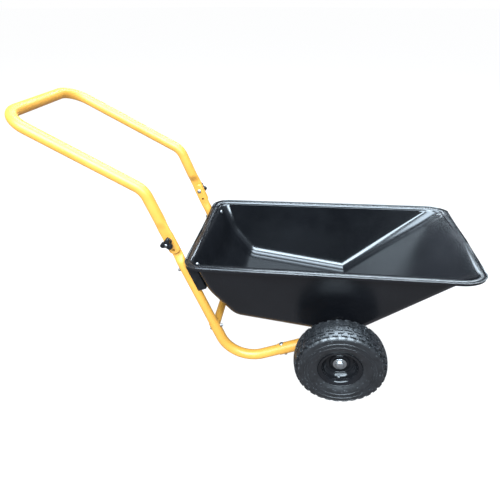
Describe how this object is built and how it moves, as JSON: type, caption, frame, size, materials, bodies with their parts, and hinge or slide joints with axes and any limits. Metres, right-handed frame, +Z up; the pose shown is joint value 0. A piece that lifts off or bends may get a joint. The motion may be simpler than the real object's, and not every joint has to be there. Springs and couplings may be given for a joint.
{
  "type": "yard cart",
  "caption": "Garden yard cart: moulded plastic tub on a bent tube frame, with a fold-over push handle clamped by wing knobs and pneumatic wheels on a plain axle.",
  "frame": {"origin": "on the ground, under the middle of the cart's bounding box", "axes": "+X forward from the handle to the tub's nose, +Y to the cart's left side, +Z up"},
  "size_m": [1.301, 0.679, 0.7725],
  "materials": {
    "tub": "satin moulded polypropylene, near black",
    "tube_paint": "warm yellow powder coat, semi-gloss",
    "spacer_block": "moulded black plastic",
    "steel": "bright zinc-plated steel",
    "knob": "moulded black plastic, satin",
    "tyre": "vulcanised black rubber",
    "inner_tube": "butyl rubber",
    "rim": "gloss black paint on pressed steel",
    "bush": "natural nylon",
    "valve_stem": "black rubber",
    "valve_cap": "black plastic"
  },
  "bodies": {
    "frame": {"tub": "tub", "upper_frame_tube_left": "tube_paint", "upper_frame_tube_right": "tube_paint", "foot_tube_left": "tube_paint", "foot_tube_right": "tube_paint", "front_arm_left": "tube_paint", "front_arm_right": "tube_paint", "axle_plate_left": "tube_paint", "axle_plate_right": "tube_paint", "cross_brace": "tube_paint", "spacer_block_left": "spacer_block", "spacer_block_right": "spacer_block", "axle": "steel", "axle_spacer_left": "steel", "axle_spacer_right": "steel", "axle_washer_left": "steel", "axle_washer_right": "steel", "axle_cap_left": "steel", "axle_cap_right": "steel", "foot_bolt_left": "steel", "foot_bolt_right": "steel", "foot_nut_left": "steel", "foot_nut_right": "steel", "arm_bolt_left": "steel", "arm_bolt_right": "steel", "arm_nut_left": "steel", "arm_nut_right": "steel", "tub_bolt_left": "steel", "tub_bolt_right": "steel", "tub_nut_left": "steel", "tub_nut_right": "steel", "hinge_bolt_left": "steel", "hinge_bolt_right": "steel"},
    "handle": {"handle_tube": "tube_paint", "hinge_washer_left": "steel", "hinge_washer_right": "steel"},
    "knob_left": {"knob_left": "knob", "knob_nut_left": "steel"},
    "knob_right": {"knob_right": "knob", "knob_nut_right": "steel"},
    "wheel_left": {"tyre_left": "tyre", "inner_tube_left": "inner_tube", "rim_outer_half_left": "rim", "rim_inner_half_left": "rim", "hub_left": "rim", "hub_bush_outer_left": "bush", "hub_bush_inner_left": "bush", "valve_stem_left": "valve_stem", "valve_cap_left": "valve_cap"},
    "wheel_right": {"tyre_right": "tyre", "inner_tube_right": "inner_tube", "rim_outer_half_right": "rim", "rim_inner_half_right": "rim", "hub_right": "rim", "hub_bush_outer_right": "bush", "hub_bush_inner_right": "bush", "valve_stem_right": "valve_stem", "valve_cap_right": "valve_cap"}
  },
  "joints": [
    {"name": "handle_fold", "type": "hinge", "parent": "frame", "child": "handle", "pos_m": [-0.21597, 0, 0.42425], "axis": [0, 1, 0], "range_deg": [0, 132]},
    {"name": "wheel_spin_left", "type": "hinge", "parent": "frame", "child": "wheel_left", "pos_m": [0.2855, 0.297, 0.13], "axis": [0, 1, 0], "continuous": true},
    {"name": "wheel_spin_right", "type": "hinge", "parent": "frame", "child": "wheel_right", "pos_m": [0.2855, -0.297, 0.13], "axis": [0, 1, 0], "continuous": true},
    {"name": "knob_turn_left", "type": "hinge", "parent": "frame", "child": "knob_left", "pos_m": [-0.21597, 0.2, 0.42425], "axis": [0, 1, 0], "continuous": true},
    {"name": "knob_turn_right", "type": "hinge", "parent": "frame", "child": "knob_right", "pos_m": [-0.21597, -0.2, 0.42425], "axis": [0, 1, 0], "continuous": true}
  ]
}
